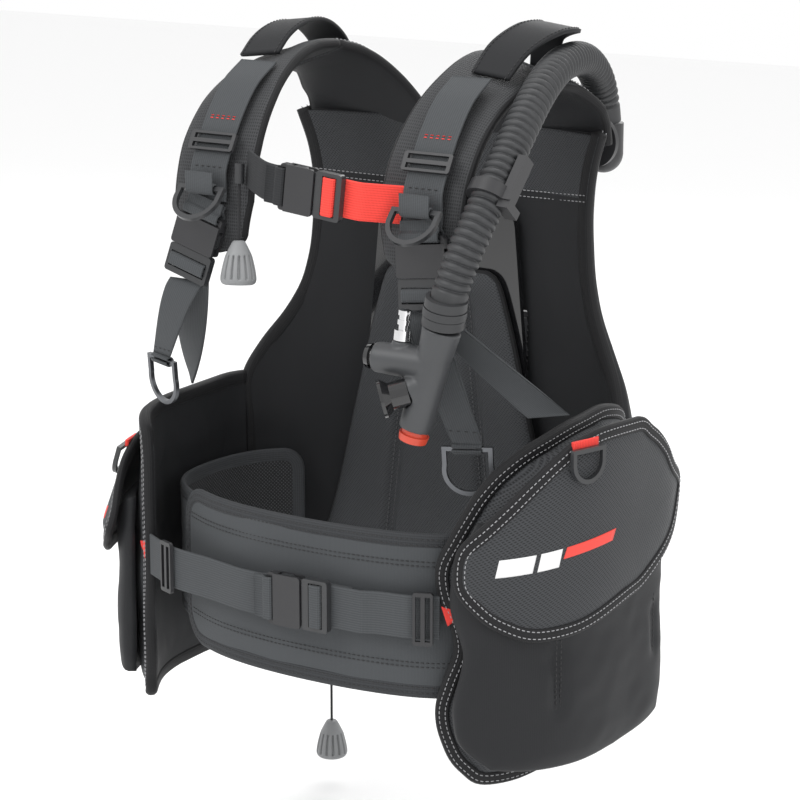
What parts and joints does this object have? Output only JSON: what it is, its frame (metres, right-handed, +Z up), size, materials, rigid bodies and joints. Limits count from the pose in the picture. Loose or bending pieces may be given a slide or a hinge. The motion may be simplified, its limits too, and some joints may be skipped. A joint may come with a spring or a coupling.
{
  "type": "buoyancy compensator vest",
  "caption": "Jacket-style diving buoyancy vest: bladder jacket with side pockets, padded harness, buckled straps, power inflator on a corrugated hose and a cylinder band.",
  "frame": {"origin": "on the axis of the diving cylinder that the band clamps, at the band's mid height", "axes": "+Z up along the cylinder, +X the wearer's left, -Y the wearer's front"},
  "size_m": [0.5483, 0.5253, 0.8006],
  "materials": {
    "black_nylon": "satin",
    "grey_nylon": "satin",
    "grey_webbing": "satin",
    "red_webbing": "satin",
    "matte_black_plastic": "matte",
    "gloss_black_plastic": "gloss",
    "black_rubber": "matte",
    "red_plastic": "satin",
    "grey_plastic": "matte",
    "dark_cord": "matte",
    "steel": "satin",
    "chrome": "polished"
  },
  "bodies": {
    "vest": {"back_pad": "black_nylon", "backpack_shell": "gloss_black_plastic", "bladder_back": "black_nylon", "cam_frame": "matte_black_plastic", "chest_buckle_female": "matte_black_plastic", "chest_buckle_male": "matte_black_plastic", "chest_webbing_left": "red_webbing", "chest_webbing_right": "grey_webbing", "cord_guide": "matte_black_plastic", "cummerbund_left": "grey_nylon", "cummerbund_right": "grey_nylon", "cylinder_band": "grey_webbing", "dump_valves": "matte_black_plastic", "hose_clip": "matte_black_plastic", "hose_collar": "black_rubber", "hose_elbow": "matte_black_plastic", "inflator_body": "matte_black_plastic", "inflator_hose": "black_rubber", "inflator_nipple": "chrome", "lobe_left": "black_nylon", "lobe_right": "black_nylon", "lower_webbings": "grey_webbing", "mouthpiece": "gloss_black_plastic", "pack_screws": "steel", "pocket_left": "black_nylon", "pocket_right": "black_nylon", "shoulder_buckles_female": "matte_black_plastic", "shoulder_buckles_male": "matte_black_plastic", "shoulder_handles": "black_nylon", "shoulder_pad_left": "black_nylon", "shoulder_pad_right": "black_nylon", "shoulder_prongs": "matte_black_plastic", "shoulder_webbings": "grey_webbing", "shoulder_yokes": "black_nylon", "strap_slides": "matte_black_plastic", "tail_webbings": "grey_webbing", "waist_buckle_female": "matte_black_plastic", "waist_buckle_male": "matte_black_plastic", "waist_webbing_left": "grey_webbing", "waist_webbing_right": "grey_webbing"},
    "cam_lever": {"cam_lever": "matte_black_plastic"},
    "inflate_button": {"inflate_button": "gloss_black_plastic"},
    "deflate_button": {"deflate_button": "red_plastic"},
    "waist_prong_upper": {"waist_prong_upper": "matte_black_plastic"},
    "waist_prong_lower": {"waist_prong_lower": "matte_black_plastic"},
    "chest_prong_upper": {"chest_prong_upper": "matte_black_plastic"},
    "chest_prong_lower": {"chest_prong_lower": "matte_black_plastic"},
    "shoulder_ring_left": {"shoulder_ring_left": "matte_black_plastic"},
    "shoulder_ring_right": {"shoulder_ring_right": "matte_black_plastic"},
    "tail_ring_left": {"tail_ring_left": "steel"},
    "tail_ring_right": {"tail_ring_right": "steel"},
    "flap_left": {"pocket_flap_left": "black_nylon"},
    "flap_right": {"pocket_flap_right": "black_nylon"},
    "flap_ring_left": {"flap_ring_left": "matte_black_plastic"},
    "flap_ring_right": {"flap_ring_right": "matte_black_plastic"},
    "shoulder_pull": {"shoulder_pull_cord": "dark_cord", "shoulder_pull_knob": "grey_plastic"},
    "lower_pull": {"lower_pull_cord": "dark_cord", "lower_pull_knob": "grey_plastic"}
  },
  "joints": [
    {"name": "cam_lever_hinge", "type": "hinge", "parent": "vest", "child": "cam_lever", "pos_m": [-0.03, 0.1039, 0], "axis": [0, 0, 1], "range_deg": [0, 110]},
    {"name": "inflate_button_travel", "type": "slide", "parent": "vest", "child": "inflate_button", "axis": [0.9986, 0.051, -0.0142], "range_m": [0, 0.003], "stiffness_N_per_m": 900, "springref_m": -0.002},
    {"name": "deflate_button_travel", "type": "slide", "parent": "vest", "child": "deflate_button", "axis": [0.2447, 0.0653, 0.9674], "range_m": [0, 0.004], "stiffness_N_per_m": 900, "springref_m": -0.002},
    {"name": "waist_prong_upper_flex", "type": "hinge", "parent": "vest", "child": "waist_prong_upper", "pos_m": [0.03051, -0.40341, -0.1206], "axis": [0.02, -0.9998, 0], "range_deg": [0, 6], "stiffness_Nm_per_rad": 0.5, "springref_deg": -5.73},
    {"name": "waist_prong_lower_flex", "type": "hinge", "parent": "vest", "child": "waist_prong_lower", "pos_m": [0.03051, -0.40341, -0.1574], "axis": [0.02, -0.9998, 0], "range_deg": [-6, 0], "stiffness_Nm_per_rad": 0.5, "springref_deg": 5.73},
    {"name": "chest_prong_upper_flex", "type": "hinge", "parent": "vest", "child": "chest_prong_upper", "pos_m": [0.02722, -0.37132, 0.24183], "axis": [0.03, -0.9996, 0], "range_deg": [0, 6], "stiffness_Nm_per_rad": 0.5, "springref_deg": -5.73},
    {"name": "chest_prong_lower_flex", "type": "hinge", "parent": "vest", "child": "chest_prong_lower", "pos_m": [0.02385, -0.37142, 0.21121], "axis": [0.03, -0.9996, 0], "range_deg": [-6, 0], "stiffness_Nm_per_rad": 0.5, "springref_deg": 5.73},
    {"name": "shoulder_ring_left_swing", "type": "hinge", "parent": "vest", "child": "shoulder_ring_left", "pos_m": [0.119, -0.3544, 0.216], "axis": [-1, 0, 0], "range_deg": [-30, 60]},
    {"name": "shoulder_ring_right_swing", "type": "hinge", "parent": "vest", "child": "shoulder_ring_right", "pos_m": [-0.111, -0.3544, 0.216], "axis": [-1, 0, 0], "range_deg": [-30, 60]},
    {"name": "tail_ring_left_swing", "type": "hinge", "parent": "vest", "child": "tail_ring_left", "pos_m": [0.152, -0.322, 0.003], "axis": [0.9409, 0.337, 0.0337], "range_deg": [-35, 35]},
    {"name": "tail_ring_right_swing", "type": "hinge", "parent": "vest", "child": "tail_ring_right", "pos_m": [-0.182, -0.327, 0.043], "axis": [0.9409, -0.337, -0.0337], "range_deg": [-35, 35]},
    {"name": "flap_left_hinge", "type": "hinge", "parent": "vest", "child": "flap_left", "pos_m": [0.2691, -0.2994, 0.031], "axis": [-0.3118, -0.9501, 0], "range_deg": [0, 70]},
    {"name": "flap_right_hinge", "type": "hinge", "parent": "vest", "child": "flap_right", "pos_m": [-0.23712, -0.27725, -0.04], "axis": [-0.3118, 0.9501, 0], "range_deg": [0, 70]},
    {"name": "flap_ring_left_swing", "type": "hinge", "parent": "flap_left", "child": "flap_ring_left", "pos_m": [0.27394, -0.3227, 0.02], "axis": [-0.3118, -0.9501, 0], "range_deg": [-3, 95]},
    {"name": "flap_ring_right_swing", "type": "hinge", "parent": "flap_right", "child": "flap_ring_right", "pos_m": [-0.24125, -0.31197, -0.052], "axis": [-0.3118, 0.9501, 0], "range_deg": [-3, 95]},
    {"name": "shoulder_pull_travel", "type": "slide", "parent": "vest", "child": "shoulder_pull", "axis": [0.0578, -0.1238, -0.9906], "range_m": [0, 0.008], "stiffness_N_per_m": 600, "springref_m": -0.003},
    {"name": "lower_pull_travel", "type": "slide", "parent": "vest", "child": "lower_pull", "axis": [0, 0, -1], "range_m": [0, 0.008], "stiffness_N_per_m": 600, "springref_m": -0.003}
  ],
  "couplings": [
    {"joint": "waist_prong_lower_flex", "follows": "waist_prong_upper_flex", "ratio": -1},
    {"joint": "chest_prong_lower_flex", "follows": "chest_prong_upper_flex", "ratio": -1}
  ]
}
